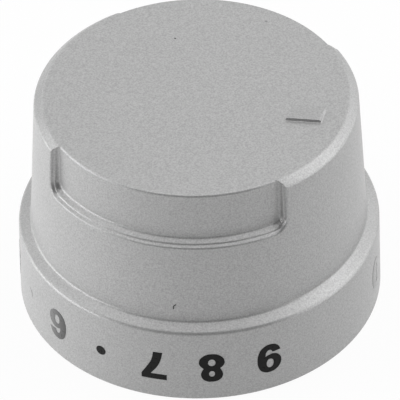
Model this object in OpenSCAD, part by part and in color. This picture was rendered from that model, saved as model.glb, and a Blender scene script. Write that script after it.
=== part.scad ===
// Push-on switch knob with a numbered skirt, two finger recesses and a raised pointer.
// Millimetres. The origin is the centre of the lower rim, +Z runs up the shaft axis
// and +X runs towards the pointer.

/* [Skirt] */
// Diameter of the skirt at its lower rim
skirt_d = 45; // [38:0.5:60]
// Height of the skirt up to the outer edge of the shoulder
skirt_h = 10.5; // [8:0.25:14]
// Draft of the skirt's outer face, in degrees
skirt_draft = 1; // [0.5:0.1:2]

/* [Grip] */
// Height of the top face above the rim
knob_h = 29.5; // [26:0.5:36]
// Width of the sloping shoulder between skirt and grip
shoulder_w = 1.53; // [0.8:0.01:3]
// Rise of the sloping shoulder
shoulder_rise = 0.8; // [0.4:0.05:1.6]
// Draft of the grip's outer face, in degrees
grip_draft = 3.4; // [2:0.1:5]
// Width of the chamfer round the top face
chamfer_w = 1; // [0.5:0.05:1.4]
// Height of the chamfer round the top face
chamfer_h = 0.85; // [0.4:0.05:1.5]

/* [Finger recesses] */
// Half of the angle that one recess spans, in degrees
recess_half_angle = 46.9; // [30:0.1:60]
// Height of the recess's lower edge above the rim
recess_foot = 22.6; // [18:0.05:24]
// Depth of the recess floor below the grip's face, at the level of the top face
recess_depth = 1; // [0.97:0.01:1.6]
// Draft of the recess floor, in degrees
recess_draft = 1.2; // [0.5:0.1:3]
// Radius of the recess's lower corners
recess_corner_r = 1.3; // [0.5:0.05:2.5]
// Radius of the recess's upper corners
crown_corner_r = 1.5; // [1:0.05:2.5]
// Height above the top face at which the upper corners would end
crown_rise = 0.45; // [0.2:0.05:0.9]

/* [Pointer] */
// Length of the raised pointer along the radius
pointer_l = 4.2; // [3:0.1:7]
// Width of the raised pointer from its steep face to the end of its ramp
pointer_w = 3.7; // [3:0.1:7]
// Height of the steep face above the top face
pointer_h = 0.4; // [0.3:0.05:1]
// Turn of the steep face off the radius, in degrees
pointer_turn = 7.5; // [0:0.5:12]
// Gap from the pointer's outer end to the edge of the top face
pointer_inset = 2.85; // [1.5:0.05:5]

/* [Shell] */
// Thickness of the side walls
wall = 2; // [1.6:0.1:2.6]
// Thickness of the top
top_t = 2.2; // [1.6:0.1:3]

/* [Hub] */
// Diameter of the switch shaft
shaft_d = 6; // [4:0.1:8]
// Thickness of the shaft across its flat
shaft_flat = 4.6; // [3:0.1:6]
// Play between shaft and socket, across the diameter
shaft_play = 0.1; // [0.05:0.01:0.2]
// Depth of the shaft socket
socket_depth = 16; // [12:0.5:20]
// Diameter of the hub
hub_d = 12.4; // [11:0.1:15]
// Distance of the hub's end above the rim
hub_inset = 2; // [1:0.5:5]
// Wall of the slotted hub tip round the socket
tip_wall = 2.35; // [1.6:0.05:2.6]
// Length of the tip that stays bare below the spring band
tip_bare = 0.8; // [0.4:0.1:2]
// Width of the slot across the tip
slot_w = 1.2; // [0.8:0.1:2]
// Depth of the slot
slot_depth = 10; // [7:0.5:14]
// Thickness of the ribs between hub and grip
rib_t = 1.4; // [1:0.1:2]
// Height of the ribs below the top
rib_h = 6; // [3:0.5:7]

/* [Spring band] */
// Thickness of the steel strip
band_t = 0.6; // [0.3:0.05:0.75]
// Width of the steel strip
band_w = 5; // [3:0.5:7]
// Angle of the gap between the ends of the band, in degrees
band_gap = 40; // [15:1:90]
// Play between the band and the hub tip, across the radius
band_play = 0.02; // [0.01:0.01:0.1]

/* [Hidden] */
$fn = 96;

// How far a cut runs past the face that it opens
over = 1;
// How far a piece of the moulding runs into the wall that it grows from
root = 0.5;
// Points on a rounded corner or on the pointer's ramp
curve_steps = 8;

shoulder_z = skirt_h + shoulder_rise;
chamfer_z = knob_h - chamfer_h;
cavity_z = knob_h - top_t;
shelf_z = shoulder_z - wall;
top_r = grip_r(chamfer_z) - chamfer_w;
socket_d = shaft_d + shaft_play;
socket_flat = shaft_flat + shaft_play;
tip_d = socket_d + 2 * tip_wall;
band_z = hub_inset + tip_bare;
tip_z = band_z + band_w;

function skirt_r(z) = skirt_d / 2 - z * tan(skirt_draft);
function grip_r(z) = skirt_r(skirt_h) - shoulder_w - (z - shoulder_z) * tan(grip_draft);
function recess_r(z) = grip_r(knob_h) - recess_depth + (knob_h - z) * tan(recess_draft);

// Outside of the moulding as one turned form
module outer_form() {
    rotate_extrude()
        polygon([
            [0, 0],
            [skirt_r(0), 0],
            [skirt_r(skirt_h), skirt_h],
            [grip_r(shoulder_z), shoulder_z],
            [grip_r(chamfer_z), chamfer_z],
            [top_r, knob_h],
            [0, knob_h]
        ]);
}

// Hollow inside, one wall in from the skirt and the grip
module hollow() {
    rotate_extrude()
        polygon([
            [0, -over],
            [skirt_r(-over) - wall, -over],
            [skirt_r(shelf_z) - wall, shelf_z],
            [grip_r(shelf_z) - wall, shelf_z],
            [grip_r(cavity_z) - wall, cavity_z],
            [0, cavity_z]
        ]);
}

// Web that rounds a lower corner of a recess with its foot at 0. It is drawn for an end face on
// the XZ plane, with the recess on -Y.
module recess_corner(corner) {
    arc = [for (i = [0 : curve_steps])
        let (a = 90 * i / curve_steps - 90)
        [corner * (cos(a) - 1), corner * (1 + sin(a))]];
    low_end = 2 * arc[0] - arc[1];
    high_end = 2 * arc[curve_steps] - arc[curve_steps - 1];
    rotate([90, 0, 90])
        linear_extrude(skirt_d)
            polygon(concat(
                [[over, -over], [low_end[0], -over], low_end],
                [for (i = [1 : curve_steps - 1]) arc[i]],
                [high_end, [over, high_end[1]]]
            ));
}

// One finger recess, centred on +X and open at the top. Its end faces are radial and its corners
// are rounded.
module finger_recess() {
    reach = skirt_d / cos(recess_half_angle);
    low = recess_foot - over;
    high = knob_h + over;
    intersection() {
        rotate_extrude()
            polygon([
                [recess_r(low), low],
                [skirt_d, low],
                [skirt_d, high],
                [recess_r(high), high]
            ]);
        difference() {
            translate([0, 0, recess_foot])
                linear_extrude(high)
                    polygon([
                        [0, 0],
                        reach * [cos(recess_half_angle), -sin(recess_half_angle)],
                        reach * [cos(recess_half_angle), sin(recess_half_angle)]
                    ]);
            for (side = [0, 1])
                mirror([0, side, 0])
                    rotate([0, 0, recess_half_angle]) {
                        translate([0, 0, recess_foot])
                            recess_corner(recess_corner_r);
                        translate([0, 0, knob_h + crown_rise])
                            mirror([0, 0, 1])
                                recess_corner(crown_corner_r);
                    }
        }
    }
}

// Thickening inside the grip that keeps the wall even behind a recess
module recess_backing() {
    half_angle = recess_half_angle + asin(wall / grip_r(recess_foot));
    foot = recess_foot - wall;
    crown = cavity_z + root;
    rotate([0, 0, -half_angle])
        rotate_extrude(angle = 2 * half_angle)
            polygon([
                [recess_r(foot) - wall, foot],
                [grip_r(foot) - wall / 2, foot],
                [grip_r(crown) - wall / 2, crown],
                [recess_r(crown) - wall, crown]
            ]);
}

// Raised pointer on the top face: a steep face towards -Y, turned a little off the radius, and a
// hollow ramp towards +Y. Its ends run across the radius.
module pointer() {
    translate([top_r - pointer_inset - pointer_l / 2, 0, knob_h])
        intersection() {
            translate([-pointer_l / 2, -skirt_d, -over])
                cube([pointer_l, 2 * skirt_d, 2 * over + pointer_h]);
            rotate([0, 0, pointer_turn])
                translate([-pointer_l, 0, 0])
                    rotate([90, 0, 90])
                        linear_extrude(2 * pointer_l)
                            polygon(concat(
                                [[pointer_w / 2, -root], [-pointer_w / 2, -root]],
                                [for (i = [0 : curve_steps - 1])
                                    let (u = i / curve_steps)
                                    [pointer_w * (u - 0.5), pointer_h * pow(1 - u, 2)]],
                                [[pointer_w / 2, 0]]
                            ));
        }
}

// Hub that takes the shaft, stepped at its tip for the spring band
module hub() {
    translate([0, 0, hub_inset])
        cylinder(d = tip_d, h = tip_z - hub_inset + root);
    translate([0, 0, tip_z])
        cylinder(d = hub_d, h = cavity_z + root - tip_z);
}

// Ribs that brace the hub against the grip, on the X and Y axes
module ribs() {
    rib_z = cavity_z - rib_h;
    full_reach = grip_r(cavity_z) - wall / 2;
    for (quarter = [0 : 3]) {
        reach = full_reach - (quarter % 2) * recess_depth;
        rotate([0, 0, 90 * quarter])
            translate([0, -rib_t / 2, rib_z])
                cube([reach, rib_t, rib_h + root]);
    }
}

// D-shaped shaft socket with its flat towards the pointer, and the slot that lets the tip spring
module shaft_socket() {
    translate([0, 0, hub_inset - over])
        intersection() {
            cylinder(d = socket_d, h = socket_depth + over);
            translate([-socket_d, -socket_d, 0])
                cube([socket_d / 2 + socket_flat, 2 * socket_d, socket_depth + over]);
        }
    translate([-slot_w / 2, -hub_d, hub_inset - over])
        cube([slot_w, 2 * hub_d, slot_depth + over]);
}

// Knob, moulded in one piece
module knob_body() {
    color([0.69, 0.69, 0.7])
        difference() {
            union() {
                difference() {
                    outer_form();
                    hollow();
                }
                for (side = [-90, 90])
                    rotate([0, 0, side])
                        recess_backing();
                hub();
                ribs();
                pointer();
            }
            for (side = [-90, 90])
                rotate([0, 0, side])
                    finger_recess();
            shaft_socket();
        }
}

// Band of spring steel that closes the slotted tip on the shaft. It butts on the hub's step.
module spring_band() {
    band_r = tip_d / 2 + band_play;
    color([0.62, 0.63, 0.65])
        translate([0, 0, band_z])
            rotate([0, 0, 180 + band_gap / 2])
                rotate_extrude(angle = 360 - band_gap)
                    translate([band_r, 0])
                        square([band_t, band_w]);
}

knob_body();
spring_band();
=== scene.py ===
from math import atan2, cos, hypot, pi, radians, sin, sqrt, tan

import bmesh
import bpy
from mathutils import Matrix, Vector


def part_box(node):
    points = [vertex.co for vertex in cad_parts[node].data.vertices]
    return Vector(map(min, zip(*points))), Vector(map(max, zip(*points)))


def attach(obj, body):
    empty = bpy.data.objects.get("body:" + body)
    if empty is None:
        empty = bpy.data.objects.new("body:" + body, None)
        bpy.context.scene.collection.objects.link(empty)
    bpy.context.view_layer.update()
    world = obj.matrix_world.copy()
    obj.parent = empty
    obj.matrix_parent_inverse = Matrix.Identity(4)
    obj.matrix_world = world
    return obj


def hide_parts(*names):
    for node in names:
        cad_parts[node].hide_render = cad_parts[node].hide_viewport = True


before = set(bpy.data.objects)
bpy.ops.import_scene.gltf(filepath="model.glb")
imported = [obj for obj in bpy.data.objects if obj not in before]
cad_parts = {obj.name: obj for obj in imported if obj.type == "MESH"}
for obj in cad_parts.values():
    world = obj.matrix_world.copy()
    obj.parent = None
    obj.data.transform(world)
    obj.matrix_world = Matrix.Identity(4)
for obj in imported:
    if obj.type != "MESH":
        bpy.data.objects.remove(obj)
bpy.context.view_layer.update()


# Outer skin of the knob: skirt, shoulder, grip and top, moulded in one shot of plastic.
# It is turned from one profile, because the mould's cavity is turned, and both finger
# recesses are pressed into the grip afterwards.
mm = 0.001
tolerance = 0.001 * mm
rim_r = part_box("knob_body")[1].x
rim_land = 1.8 * mm
rim_round = 0.3 * mm
skirt_h = 10.5 * mm
skirt_draft = radians(1.0)
skirt_edge_round = 0.35 * mm
shoulder_w = 1.53 * mm
shoulder_rise = 0.8 * mm
shoulder_round = 0.25 * mm
grip_draft = radians(3.4)
grip_edge_round = 0.2 * mm
chamfer_w = 1.0 * mm
chamfer_h = 0.85 * mm
knob_h = 29.5 * mm
top_edge_round = 0.2 * mm
top_band = 0.9 * mm
round_steps = 5

recess_half = radians(47.2)
recess_foot = 22.45 * mm
recess_corner = 1.7 * mm
recess_crown = knob_h - 0.75 * mm
recess_crown_corner = 1.0 * mm
recess_floor_r = 18.78 * mm
recess_floor_draft = radians(1.2)
brow_round = 0.35 * mm
# Edge of a recess from the grip inwards: rounded crest, short lip, small step, ledge and toe
recess_crest = 0.3 * mm
recess_crest_end = radians(75)
recess_lip = 0.21 * mm
recess_step = 0.12 * mm
recess_step_slope = radians(30)
recess_foot_slope = radians(60)
recess_end_slope = radians(82)
recess_toe = 0.4 * mm

shoulder_z = skirt_h + shoulder_rise
chamfer_z = knob_h - chamfer_h
skirt_top_r = rim_r - skirt_h * tan(skirt_draft)


def grip_r(z):
    """Radius of the grip's face at a height."""
    return skirt_top_r - shoulder_w - (z - shoulder_z) * tan(grip_draft)


def recess_drop(inside, depth, slope):
    """Depth of the recess at a distance in from its outline: crest, lip, step, ledge and toe."""
    if inside < -recess_crest:
        return 0
    rise = inside + recess_crest * (1 - sin(recess_crest_end))
    if rise < 0:
        return recess_crest - sqrt(recess_crest ** 2 - (inside + recess_crest) ** 2)
    drop = recess_crest * (1 - cos(recess_crest_end))
    step_drop = recess_step * tan(recess_step_slope)
    toe_drop = recess_toe * (1 - cos(slope))
    ledge_drop = max(0, depth - drop - recess_lip - step_drop - toe_drop)
    for length, fall in (
        (recess_lip / tan(slope), recess_lip),
        (recess_step, step_drop),
        (ledge_drop / tan(slope), ledge_drop),
    ):
        if rise < length:
            return min(depth, drop + fall * rise / length)
        rise -= length
        drop += fall
    lean = max(0, sin(slope) - rise / recess_toe)
    return depth - recess_toe * (1 - sqrt(1 - lean ** 2))


def recess_r(angle, z):
    """Radius of the finger recess at an angle from its middle and a height."""
    over_crown = max(0, z - recess_crown)
    bend = recess_crown_corner - sqrt(recess_crown_corner ** 2 - over_crown ** 2)
    from_end = (recess_half - abs(angle)) * grip_r(z) - bend
    from_foot = z - recess_foot
    inside = min(from_end, from_foot)
    endward = 1 if from_end < from_foot else 0
    if from_end < recess_corner and from_foot < recess_corner:
        inside = recess_corner - hypot(recess_corner - from_end, recess_corner - from_foot)
        endward = atan2(recess_corner - from_end, recess_corner - from_foot) / (pi / 2)
    slope = recess_foot_slope + endward * (recess_end_slope - recess_foot_slope)
    rise = min(brow_round, max(0, z - knob_h + brow_round))
    floor_r = recess_floor_r + (knob_h - z) * tan(recess_floor_draft)
    depth = grip_r(z) - (floor_r - brow_round + sqrt(brow_round ** 2 - rise ** 2))
    return grip_r(z) - recess_drop(inside, depth, slope)


top_edge_r = grip_r(chamfer_z) - chamfer_w
ring_r = top_edge_r - top_band
# Reach of the fine mesh out of a recess's edge, into the recess and up from its foot
fine_out = 0.5 * mm
fine_in = 2.0 * mm
fine_up = 1.5 * mm
fine_low = recess_foot - fine_out
fine_high = recess_foot + fine_up
edge_cuts = 44
floor_cuts = 8
chamfer_cuts = 9
ring_cuts = 4
# Corners of the profile as radius, height, rounding and cuts in the stretch that follows
profile = [
    (rim_r - rim_land, 0, 0, 0),
    (rim_r, 0, rim_round, 1),
    (skirt_top_r, skirt_h, skirt_edge_round, 1),
    (grip_r(shoulder_z), shoulder_z, shoulder_round, 1),
    (grip_r(fine_low), fine_low, 0, edge_cuts),
    (grip_r(fine_high), fine_high, 0, floor_cuts),
    (grip_r(chamfer_z), chamfer_z, grip_edge_round, chamfer_cuts),
    (top_edge_r, knob_h, top_edge_round, ring_cuts),
    (ring_r, knob_h, 0, 0),
]
bm = bmesh.new()
corners = [Vector((r, 0, z)) for r, z, _, _ in profile]
knots = [bm.verts.new(corner) for corner in corners]
for pair in zip(knots, knots[1:]):
    bm.edges.new(pair)
for corner, (_, _, rounding, _) in zip(corners, profile):
    if rounding:
        knot = min(bm.verts, key=lambda v: (v.co - corner).length)
        bmesh.ops.bevel(
            bm, geom=[knot], offset=rounding, affect="VERTICES",
            segments=round_steps, profile=0.5, material=-1,
        )
for corner, next_corner, (_, _, _, cuts) in zip(corners, corners[1:], profile):
    if cuts:
        halfway = (corner + next_corner) / 2
        stretch = min(bm.edges, key=lambda e: (
            (e.verts[0].co - halfway).length + (e.verts[1].co - halfway).length - e.calc_length()))
        bmesh.ops.subdivide_edges(bm, edges=[stretch], cuts=cuts)

out_angle = fine_out / grip_r(recess_foot)
in_angle = fine_in / grip_r(recess_foot)
end_steps = 56
floor_steps = 72
plain_steps = 70
# Half a turn as angles and steps: an end of a recess, its floor, its other end and the plain grip
sectors = [
    (out_angle + in_angle, end_steps),
    (2 * (recess_half - in_angle), floor_steps),
    (out_angle + in_angle, end_steps),
    (pi - 2 * (recess_half + out_angle), plain_steps),
]
start = -pi / 2 - recess_half - out_angle
bmesh.ops.rotate(bm, verts=bm.verts, matrix=Matrix.Rotation(start, 3, "Z"))
edge_loop = bm.verts[:] + bm.edges[:]
for turn, steps in sectors * 2:
    spun = bmesh.ops.spin(
        bm, geom=edge_loop, axis=(0, 0, 1), cent=(0, 0, 0), angle=turn, steps=steps,
    )
    edge_loop = spun["geom_last"]
bmesh.ops.remove_doubles(bm, verts=bm.verts, dist=tolerance)

flat_r = max(hypot(v.co.x, v.co.y) for v in bm.verts if v.co.z > knob_h - tolerance)
for vert in bm.verts:
    x, y, z = vert.co
    if z < fine_low:
        continue
    r = hypot(x, y)
    pressed_r = recess_r(abs(atan2(y, x)) - pi / 2, z)
    if z > knob_h - tolerance:
        new_r = ring_r + (r - ring_r) * (min(flat_r, pressed_r) - ring_r) / (flat_r - ring_r)
    else:
        new_r = min(r, pressed_r)
    vert.co.x *= new_r / r
    vert.co.y *= new_r / r


# Pointer: a low raised wedge on the top face, moulded with it. Its steep face looks towards the
# front recess, a little off square, and its ramp runs out towards the back.
pointer_l = 4.2 * mm
pointer_offset = 1.85 * mm
pointer_ramp = 3.0 * mm
pointer_h = 0.4 * mm
pointer_turn = radians(7.5)
pointer_inset = 2.85 * mm
pointer_fillet = 0.18 * mm
pointer_crest = 0.08 * mm
pointer_soft = 0.32 * mm
patch_half = 2.6 * mm
patch_lines = 140
pointer_x = top_edge_r - pointer_inset - pointer_l / 2


def eased(reach, width):
    """Rises smoothly from 0 to 1 over a width."""
    share = min(1, max(0, reach / width))
    return share * share * (3 - 2 * share)


patch = bmesh.ops.create_grid(
    bm, x_segments=patch_lines, y_segments=patch_lines, size=patch_half,
    matrix=Matrix.Translation((pointer_x, 0, knob_h)),
)["verts"]
for vert in patch:
    along = vert.co.x - pointer_x
    steep_y = along * tan(pointer_turn) - pointer_offset
    # Lines of the grid gather at the steep face
    if vert.co.y < steep_y:
        share = (steep_y - vert.co.y) / (steep_y + patch_half)
        vert.co.y = steep_y - share ** 2 * (steep_y + patch_half)
    else:
        share = (vert.co.y - steep_y) / (patch_half - steep_y)
        vert.co.y = steep_y + share ** 2 * (patch_half - steep_y)
    across = vert.co.y - steep_y
    if across < 0:
        reach = max(0, across + pointer_fillet)
        height = pointer_fillet - sqrt(pointer_fillet ** 2 - reach ** 2)
    else:
        reach = max(0, pointer_crest - across)
        height = pointer_h * (1 - min(1, across / pointer_ramp))
        height -= pointer_crest - sqrt(pointer_crest ** 2 - reach ** 2)
    vert.co.z += height * eased(pointer_l / 2 - abs(along) + pointer_soft / 2, pointer_soft)
hole_edges = [e for e in bm.edges if e.is_boundary and e.verts[0].co.z > knob_h - tolerance]
bmesh.ops.triangle_fill(bm, edges=hole_edges, use_beauty=False)


# Inside of the knob: hollow, hub, ribs and shaft socket of the same moulding, bare plastic.
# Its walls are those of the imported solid, joined to the skin along the lower rim.
solid_weld = 0.0005 * mm
crease = radians(25)
# Depths below the outer faces within which a face of the solid belongs to the outside
top_skin = 0.3 * mm
skirt_skin = 1.2 * mm
grip_skin = 1.6 * mm
inner = bmesh.new()
inner.from_mesh(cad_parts["knob_body"].data)
bmesh.ops.remove_doubles(inner, verts=inner.verts, dist=solid_weld)


def on_outside(face):
    """Whether the turned skin stands for this face of the solid."""
    centre = face.calc_center_median()
    r = hypot(centre.x, centre.y)
    if centre.z > chamfer_z - top_skin or max(v.co.z for v in face.verts) < tolerance:
        return True
    if centre.z < skirt_h:
        return r > rim_r - skirt_skin
    return r > grip_r(centre.z) - grip_skin


bmesh.ops.delete(inner, geom=[f for f in inner.faces if on_outside(f)], context="FACES")
inner_mesh = bpy.data.meshes.new("inner_walls")
inner.to_mesh(inner_mesh)
inner.free()
skin_faces = len(bm.faces)
bm.from_mesh(inner_mesh)
bpy.data.meshes.remove(inner_mesh)
bm.faces.ensure_lookup_table()
for face in bm.faces[skin_faces:]:
    face.material_index = 1
rim_edges = [e for e in bm.edges if e.is_boundary and e.verts[0].co.z < tolerance]
bmesh.ops.bridge_loops(bm, edges=rim_edges)
bmesh.ops.recalc_face_normals(bm, faces=bm.faces)

for face in bm.faces:
    face.smooth = True
for edge in bm.edges:
    inside = any(f.material_index == 1 for f in edge.link_faces)
    edge.smooth = not (inside and edge.is_manifold and edge.calc_face_angle() > crease)


def as_piece(name, shape, *materials):
    """Turns a finished bmesh into an object that rides on the knob."""
    mesh = bpy.data.meshes.new(name)
    shape.to_mesh(mesh)
    shape.free()
    for material in materials:
        mesh.materials.append(material)
    piece = bpy.data.objects.new(name, mesh)
    bpy.context.scene.collection.objects.link(piece)
    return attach(piece, "root")


def new_material(name, grain_scale, stretch=(1, 1, 1)):
    """A material with its node tree, its main shader and a noise in the object's own space."""
    material = bpy.data.materials.new(name)
    material.use_nodes = True
    tree = material.node_tree
    place = tree.nodes.new("ShaderNodeTexCoord")
    spread = tree.nodes.new("ShaderNodeMapping")
    spread.inputs["Scale"].default_value = stretch
    tree.links.new(place.outputs["Object"], spread.inputs["Vector"])
    grain = tree.nodes.new("ShaderNodeTexNoise")
    grain.inputs["Scale"].default_value = grain_scale
    grain.inputs["Detail"].default_value = 2
    tree.links.new(spread.outputs["Vector"], grain.inputs["Vector"])
    return material, tree, tree.nodes["Principled BSDF"], grain


def varied(tree, grain, low, high):
    """A value that follows the noise between two ends. Most of the noise lies from 0.3 to 0.7."""
    spread = tree.nodes.new("ShaderNodeMapRange")
    spread.inputs["From Min"].default_value = 0.3
    spread.inputs["From Max"].default_value = 0.7
    spread.inputs["To Min"].default_value = low
    spread.inputs["To Max"].default_value = high
    tree.links.new(grain.outputs["Fac"], spread.inputs["Value"])
    return spread.outputs["Result"]


def joined(tree, operation, first, second):
    """Two values of a node tree joined by an operation of its Math node."""
    sums = tree.nodes.new("ShaderNodeMath")
    sums.operation = operation
    tree.links.new(first, sums.inputs[0])
    tree.links.new(second, sums.inputs[1])
    return sums.outputs["Value"]


def spotted(tree, tint, operation, middle, core, edge, at_core, past_edge):
    """Changes a tint round a place in mm, by one value in its core and another past its edge."""
    place = tree.nodes.new("ShaderNodeTexCoord")
    gap = tree.nodes.new("ShaderNodeVectorMath")
    gap.operation = "DISTANCE"
    gap.inputs[1].default_value = [at * mm for at in middle]
    tree.links.new(place.outputs["Object"], gap.inputs[0])
    fade = tree.nodes.new("ShaderNodeMapRange")
    fade.inputs["From Min"].default_value = core * mm
    fade.inputs["From Max"].default_value = edge * mm
    fade.inputs["To Min"].default_value = at_core
    fade.inputs["To Max"].default_value = past_edge
    tree.links.new(gap.outputs["Value"], fade.inputs["Value"])
    return joined(tree, operation, tint, fade.outputs["Result"])


# Finish of the knob: silver paint on the outside, aluminium flake in a satin binder with a fine
# sandy grain. The inside is left as it comes from the mould, in bare grey plastic.
flake_scale = 5200
paint_metal = 0.5
paint_tint = (0.32, 0.45)
paint_rough = (0.46, 0.38)
grain_strength = 0.25
grain_depth = 0.02 * mm
plastic_scale = 900
plastic_tint = (0.17, 0.23)
plastic_rough = (0.5, 0.6)
# Wear as place in mm, radius in mm and the share of the paint's brightness that is left: two
# specks on the top face, and a small hooked nick low on the front of the grip
nicks = [
    ((-5.28, 9.88, 29.5), 0.15, 0.03),
    ((4.8, 15.73, 29.5), 0.24, 0.62),
    ((2.29, -20.55, 13.12), 0.12, 0.06),
    ((2.29, -20.54, 13.3), 0.12, 0.04),
    ((2.31, -20.53, 13.48), 0.12, 0.04),
    ((2.42, -20.51, 13.62), 0.12, 0.04),
    ((2.55, -20.49, 13.72), 0.12, 0.1),
]
paint, tree, shader, flake = new_material("silver_paint", flake_scale)
shader.inputs["Metallic"].default_value = paint_metal
tree.links.new(varied(tree, flake, *paint_rough), shader.inputs["Roughness"])
bump = tree.nodes.new("ShaderNodeBump")
bump.inputs["Strength"].default_value = grain_strength
bump.inputs["Distance"].default_value = grain_depth
tree.links.new(flake.outputs["Fac"], bump.inputs["Height"])
tree.links.new(bump.outputs["Normal"], shader.inputs["Normal"])
tint = varied(tree, flake, *paint_tint)
for middle, radius, left_over in nicks:
    tint = spotted(tree, tint, "MULTIPLY", middle, radius / 2, radius, left_over, 1)
tree.links.new(tint, shader.inputs["Base Color"])

raw, tree, shader, mottle = new_material("bare_plastic", plastic_scale)
tree.links.new(varied(tree, mottle, *plastic_tint), shader.inputs["Base Color"])
tree.links.new(varied(tree, mottle, *plastic_rough), shader.inputs["Roughness"])

body = as_piece("knob_shell", bm, paint, raw)
weighted = body.modifiers.new("even_normals", "WEIGHTED_NORMAL")
weighted.keep_sharp = True
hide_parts("knob_body")


# Spring band: an open ring of rolled steel strip with its edges dressed. It is snapped round
# the slotted hub tip and butts on the step of the hub.
band_low, band_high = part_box("spring_band")
band_t = 0.6 * mm
band_gap = radians(40)
band_steps = 96
band_edge_round = 0.08 * mm
band_edge_angle = radians(40)
rolled_scale = 300
rolled_stretch = (1, 1, 30)
steel_tint = (0.44, 0.56)
steel_rough = (0.24, 0.36)
bm = bmesh.new()
bmesh.ops.create_grid(bm, x_segments=1, y_segments=1, size=0.5)
bmesh.ops.rotate(bm, verts=bm.verts, matrix=Matrix.Rotation(pi / 2, 3, "X"))
bmesh.ops.scale(bm, verts=bm.verts, vec=(band_t, 1, band_high.z - band_low.z))
bmesh.ops.translate(
    bm, verts=bm.verts, vec=(band_high.x - band_t / 2, 0, (band_low.z + band_high.z) / 2),
)
bmesh.ops.rotate(bm, verts=bm.verts, matrix=Matrix.Rotation(pi + band_gap / 2, 3, "Z"))
bmesh.ops.spin(
    bm, geom=bm.faces[:], axis=(0, 0, 1), cent=(0, 0, 0), angle=2 * pi - band_gap, steps=band_steps,
)
bmesh.ops.recalc_face_normals(bm, faces=bm.faces)
strip_edges = [e for e in bm.edges if e.is_manifold and e.calc_face_angle() > band_edge_angle]
bmesh.ops.bevel(
    bm, geom=strip_edges, offset=band_edge_round, affect="EDGES",
    segments=2, profile=0.5, material=-1,
)
for face in bm.faces:
    face.smooth = True

steel, tree, shader, rolled = new_material("spring_strip", rolled_scale, rolled_stretch)
shader.inputs["Metallic"].default_value = 1
tree.links.new(varied(tree, rolled, *steel_tint), shader.inputs["Base Color"])
tree.links.new(varied(tree, rolled, *steel_rough), shader.inputs["Roughness"])
band = as_piece("spring_strip", bm, steel)
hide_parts("spring_band")


# Scale: numbers and dots screened on the skirt in black ink, a few hundredths of a millimetre
# thick. They run clockwise from the pointer, with the head of each number at the lower rim.
# Their outlines are in mm, and R marks a round point and S a sharp one.
R = "AUTO"
S = "VECTOR"
glyph_mid_y = -0.085
bowl = [
    (-0.15, 2.13, R), (0.85, 1.78, R), (1.33, 0.95, R), (1.43, 0.1, R), (1.3, -1.0, R),
    (0.85, -1.85, R), (-0.2, -2.3, R), (-1.2, -1.9, R), (-1.6, -1.13, S), (-0.55, -1.0, S),
    (-0.2, -1.43, R), (0.22, -1.2, R), (0.4, -0.45, S), (-0.05, -0.63, R), (-0.6, -0.72, R),
    (-1.4, -0.25, R), (-1.68, 0.68, R), (-1.2, 1.72, R),
]


def ring(x, y, half_w, half_h):
    """Oval outline round a point."""
    return [(x, y + half_h, R), (x + half_w, y, R), (x, y - half_h, R), (x - half_w, y, R)]


def both_sides(right):
    """Outline of which only the right half is given."""
    return right + [(-x, y, kind) for x, y, kind in reversed(right) if x]


def upside_down(outline):
    """Outline turned by half a turn, as a 6 is a turned 9."""
    return [(-x, 2 * glyph_mid_y - y, kind) for x, y, kind in outline]


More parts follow.
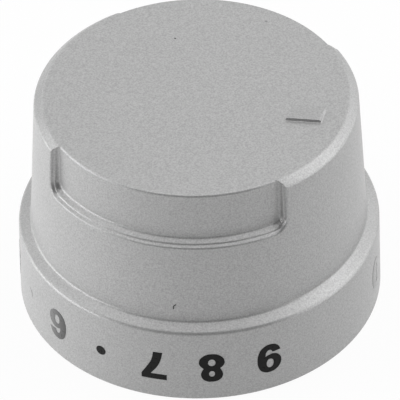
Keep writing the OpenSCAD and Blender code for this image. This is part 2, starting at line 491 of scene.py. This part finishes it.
nine = [bowl, ring(-0.2, 0.7, 0.46, 0.69)]
numerals = {
    "0": [
        both_sides([(0, 2.13, R), (1.12, 1.62, R), (1.53, -0.08, R), (1.12, -1.78, R), (0, -2.3, R)]),
        both_sides([(0, 1.42, R), (0.45, 0.9, R), (0.52, -0.08, R), (0.45, -1.06, R), (0, -1.58, R)]),
    ],
    "1": [[
        (0.75, 2.13, S), (0.75, -2.23, S), (-0.3, -2.23, S), (-0.3, 0.75, S), (-1.2, 0.75, S),
        (-1.2, 1.35, S), (-0.45, 1.5, R), (-0.1, 2.13, S),
    ]],
    "2": [[
        (-1.5, -2.23, S), (1.5, -2.23, S), (1.5, -1.35, S), (-0.25, -1.35, S), (0.4, -0.75, R),
        (1.1, -0.15, R), (1.5, 0.85, R), (1.1, 1.75, R), (0, 2.13, R), (-1.1, 1.7, R),
        (-1.5, 0.6, S), (-0.55, 0.55, S), (-0.4, 1.1, R), (0, 1.35, R), (0.42, 1.15, R),
        (0.5, 0.75, R), (0.25, 0.15, R), (-0.9, -0.95, R),
    ]],
    "3": [[
        (-1.45, 0.9, S), (-1.2, 1.6, R), (0, 2.13, R), (1.05, 1.8, R), (1.38, 1.05, R),
        (1.2, 0.45, R), (0.85, 0.08, S), (1.35, -0.35, R), (1.53, -0.95, R), (1.1, -1.9, R),
        (0, -2.3, R), (-1.2, -1.8, R), (-1.58, -0.85, S), (-0.6, -0.85, S), (-0.42, -1.4, R),
        (0, -1.55, R), (0.45, -1.35, R), (0.53, -0.9, R), (0.35, -0.5, R), (-0.35, -0.35, S),
        (-0.35, 0.4, S), (0.25, 0.5, R), (0.42, 0.92, R), (0.3, 1.28, R), (0, 1.38, R),
        (-0.35, 1.25, R), (-0.5, 0.85, S),
    ]],
    "4": [
        [
            (0.05, 2.13, S), (1.05, 2.13, S), (1.05, -0.55, S), (1.6, -0.55, S), (1.6, -1.3, S),
            (1.05, -1.3, S), (1.05, -2.23, S), (0.1, -2.23, S), (0.1, -1.3, S), (-1.65, -1.3, S),
            (-1.65, -0.45, S),
        ],
        [(0.12, 1.0, S), (0.12, -0.55, S), (-0.9, -0.55, S)],
    ],
    "5": [[
        (-1.05, 2.05, S), (1.35, 2.05, S), (1.35, 1.25, S), (-0.35, 1.25, S), (-0.45, 0.5, S),
        (0.15, 0.66, R), (1.15, 0.3, R), (1.53, -0.75, R), (1.1, -1.85, R), (0, -2.3, R),
        (-1.15, -1.9, R), (-1.58, -1.05, S), (-0.6, -0.98, S), (-0.4, -1.4, R), (0, -1.55, R),
        (0.42, -1.3, R), (0.53, -0.75, R), (0.4, -0.22, R), (0, -0.05, R), (-0.35, -0.18, R),
        (-0.5, -0.4, S), (-1.4, -0.3, S),
    ]],
    "6": [upside_down(outline) for outline in nine],
    "7": [[
        (-1.57, 2.1, S), (1.6, 2.1, S), (1.6, 1.45, S), (1.35, 1.0, R), (0.77, 0, R),
        (0.32, -1.0, R), (0.07, -2.23, S), (-1.07, -2.23, S), (-0.83, -1.0, R), (-0.43, 0, R),
        (0.23, 1.0, R), (0.45, 1.27, S), (-1.57, 1.27, S),
    ]],
    "8": [
        both_sides([
            (0, 2.13, R), (0.94, 1.86, R), (1.34, 1.07, R), (1.22, 0.45, R), (1.0, 0.02, S),
            (1.38, -0.38, R), (1.57, -0.95, R), (1.17, -1.86, R), (0, -2.3, R),
        ]),
        ring(0, 0.87, 0.36, 0.46),
        ring(0, -0.9, 0.45, 0.54),
    ],
    "9": nine,
    ".": [ring(0, -0.08, 0.67, 0.67)],
}
# Marks by their step round the skirt from the pointer
marks = {
    0: "0", 3: "9", 4: "8", 5: "7", 6: ".", 7: "6", 8: ".", 9: "5", 10: ".", 11: "4",
    12: ".", 13: "3", 14: ".", 15: "2", 16: ".", 17: "1",
}
front_mark = 5
mark_step = radians(18.1)
mark_turn = radians(0.4)
mark_z = 5.0 * mm
mark_curve_steps = 6
ink_proud = 0.025 * mm
ink_root = 0.03 * mm
# Upright cuts that let a flat mark bend round the skirt
bend_cuts = range(-3, 4)
bend_cut_gap = 0.5 * mm
cut_slack = 0.0001 * mm
ink_scale = 2500
ink_tint = (0.003, 0.005)
ink_rough = (0.26, 0.34)
ink_gloss = 0.1
ink_haze = 1
ink_haze_rough = 0.3
# Painted sheen: grey added to the ink at both sides of the skirt, where it is seen at a glancing
# angle: place in mm, reach in mm and greyness
ink_sheen_spots = [((-18.1, -13.0, 5.0), 10.3, 0.27), ((22.3, 0.4, 5.0), 6.0, 0.17)]
ink_sheen_core = 1.5
bm = bmesh.new()
for step, mark in marks.items():
    curve = bpy.data.curves.new("mark", "CURVE")
    curve.dimensions = "2D"
    curve.fill_mode = "FRONT"
    curve.resolution_u = mark_curve_steps
    for outline in numerals[mark]:
        spline = curve.splines.new("BEZIER")
        spline.use_cyclic_u = True
        spline.bezier_points.add(len(outline) - 1)
        for point, (x, y, kind) in zip(spline.bezier_points, outline):
            point.co = (x * mm, y * mm, 0)
            point.handle_left_type = point.handle_right_type = kind
    drawn = bpy.data.objects.new("mark", curve)
    bpy.context.scene.collection.objects.link(drawn)
    ready = drawn.evaluated_get(bpy.context.evaluated_depsgraph_get())
    flat = bpy.data.meshes.new_from_object(ready)
    bpy.data.objects.remove(drawn)
    one = bmesh.new()
    one.from_mesh(flat)
    bpy.data.meshes.remove(flat)
    bmesh.ops.remove_doubles(one, verts=one.verts, dist=tolerance)
    for cut in bend_cuts:
        bmesh.ops.bisect_plane(
            one, geom=one.verts[:] + one.edges[:] + one.faces[:], dist=cut_slack,
            plane_co=(cut * bend_cut_gap, 0, 0), plane_no=(1, 0, 0),
        )
    film = bmesh.ops.extrude_face_region(one, geom=one.faces[:])["geom"]
    for vert in [v for v in film if isinstance(v, bmesh.types.BMVert)]:
        vert.co.z = 1
    middle = mark_turn - pi / 2 - (step - front_mark) * mark_step
    for vert in one.verts:
        x, y, raised = vert.co
        z = mark_z - y
        skirt = rim_r - z * tan(skirt_draft)
        r = skirt + (ink_proud if raised > 0.5 else -ink_root)
        angle = middle - x / skirt
        vert.co = (r * cos(angle), r * sin(angle), z)
    bmesh.ops.recalc_face_normals(one, faces=one.faces)
    flat = bpy.data.meshes.new("mark")
    one.to_mesh(flat)
    one.free()
    bm.from_mesh(flat)
    bpy.data.meshes.remove(flat)

ink, tree, shader, speckle = new_material("black_ink", ink_scale)
shader.inputs["Specular IOR Level"].default_value = ink_gloss
shader.inputs["Sheen Weight"].default_value = ink_haze
shader.inputs["Sheen Roughness"].default_value = ink_haze_rough
tree.links.new(varied(tree, speckle, *ink_rough), shader.inputs["Roughness"])
tint = varied(tree, speckle, *ink_tint)
# Painted sheen: the ink is lightened round each place, fading out to its reach
for middle, reach, greyness in ink_sheen_spots:
    tint = spotted(tree, tint, "ADD", middle, ink_sheen_core, reach, greyness, 0)
tree.links.new(tint, shader.inputs["Base Color"])
scale_print = as_piece("scale_print", bm, ink)


# Studio: a pale floor, soft panels at both sides, behind and above, and the camera, which looks
# down on the knob from a little to the right of its front.
camera_turn = radians(15.7)
camera_rise = radians(40.754)
camera_reach = 596.9 * mm
aim_z = 14.63 * mm
image_px = 400
focal_px = 4844.36
sensor_mm = 36
aim_right = 0.0002643
aim_up = -0.00254712
camera_roll = radians(-1.406)
near_clip = 0.01
floor_half = 1.5
floor_grey = 0.65
floor_white_share = 0.95
room_grey = 0.01

away = Vector((
    -sin(camera_turn) * cos(camera_rise), cos(camera_turn) * cos(camera_rise), -sin(camera_rise),
))
side = Vector((cos(camera_turn), sin(camera_turn), 0))
lens = bpy.data.cameras.new("camera")
lens.sensor_width = sensor_mm
lens.lens = focal_px * sensor_mm / image_px
lens.clip_start = near_clip
camera = bpy.data.objects.new("camera", lens)
bpy.context.scene.collection.objects.link(camera)
bpy.context.scene.camera = camera
look = (away + aim_right * side + aim_up * side.cross(away)).normalized()
right = (side - side.dot(look) * look).normalized()
up = right.cross(look)
tilted_right = cos(camera_roll) * right + sin(camera_roll) * up
tilted_up = cos(camera_roll) * up - sin(camera_roll) * right
turned = Matrix((tilted_right, tilted_up, -look)).transposed().to_4x4()
camera.matrix_world = Matrix.Translation(Vector((0, 0, aim_z)) - camera_reach * away) @ turned

bm = bmesh.new()
bmesh.ops.create_grid(bm, x_segments=1, y_segments=1, size=floor_half)
mesh = bpy.data.meshes.new("floor")
bm.to_mesh(mesh)
bm.free()
pale = bpy.data.materials.new("pale_floor")
pale.use_nodes = True
tree = pale.node_tree
tree.nodes.remove(tree.nodes["Principled BSDF"])
rays = tree.nodes.new("ShaderNodeLightPath")
seen = joined(tree, "MAXIMUM", rays.outputs["Is Camera Ray"], rays.outputs["Is Glossy Ray"])
seen = joined(tree, "MAXIMUM", seen, rays.outputs["Is Transmission Ray"])
share = tree.nodes.new("ShaderNodeMath")
share.operation = "MULTIPLY"
share.inputs[1].default_value = floor_white_share
tree.links.new(seen, share.inputs[0])
matt = tree.nodes.new("ShaderNodeBsdfDiffuse")
matt.inputs["Color"].default_value = (floor_grey, floor_grey, floor_grey, 1)
white = tree.nodes.new("ShaderNodeEmission")
white.inputs["Color"].default_value = (1, 1, 1, 1)
white.inputs["Strength"].default_value = 1
both = tree.nodes.new("ShaderNodeMixShader")
tree.links.new(share.outputs["Value"], both.inputs["Fac"])
tree.links.new(matt.outputs["BSDF"], both.inputs[1])
tree.links.new(white.outputs["Emission"], both.inputs[2])
tree.links.new(both.outputs["Shader"], tree.nodes["Material Output"].inputs["Surface"])
pale.cycles.emission_sampling = "NONE"
mesh.materials.append(pale)
floor = bpy.data.objects.new("floor", mesh)
bpy.context.scene.collection.objects.link(floor)

world = bpy.data.worlds.new("studio")
world.use_nodes = True
backdrop = world.node_tree.nodes["Background"]
backdrop.inputs["Color"].default_value = (room_grey, room_grey, room_grey, 1)
bpy.context.scene.world = world

# Soft panels as turn from the camera and rise in degrees, width and height in metres, brightness
panels = {
    "left_strip": (-87, 8, 1.0, 0.3, 3.5),
    "left_fill": (-92, 8, 0.9, 0.3, 9.4),
    "left_panel": (-95, 30, 0.8, 0.4, 0.6),
    "rear_left_panel": (-140, 30, 0.7, 0.4, 0.8),
    "low_back_panel": (180, 25, 0.8, 0.5, 0.6),
    "high_back_panel": (180, 50, 0.7, 0.5, 0.7),
    "rear_right_strip": (125, 8, 0.7, 0.3, 1.1),
    "rear_right_panel": (130, 35, 0.7, 0.6, 1.35),
    "right_panel": (85, 35, 0.7, 0.6, 1.5),
    "right_strip": (80, 8, 0.7, 0.3, 2.6),
    "top_panel": (0, 90, 2.0, 0.62, 1.61),
}
panel_reach = 0.8
for name, (turn, rise, width, height, brightness) in panels.items():
    lamp = bpy.data.lights.new(name, "AREA")
    lamp.shape = "RECTANGLE"
    lamp.size = width
    lamp.size_y = height
    lamp.energy = brightness * pi * width * height
    panel = bpy.data.objects.new(name, lamp)
    azimuth = camera_turn + radians(turn)
    level = Vector((cos(azimuth), sin(azimuth), 0))
    height_angle = radians(rise)
    outward = Vector((
        sin(azimuth) * cos(height_angle), -cos(azimuth) * cos(height_angle), sin(height_angle),
    ))
    turned = Matrix((level, outward.cross(level), outward)).transposed().to_4x4()
    panel.matrix_world = Matrix.Translation(panel_reach * outward) @ turned
    bpy.context.scene.collection.objects.link(panel)
# The fill stands in for a wide pale wall. It is kept out of reflections, in which its narrow
# shape would leave a hard gleam along the edges.
bpy.data.objects["left_fill"].visible_glossy = False

bpy.context.scene.view_settings.view_transform = "Standard"
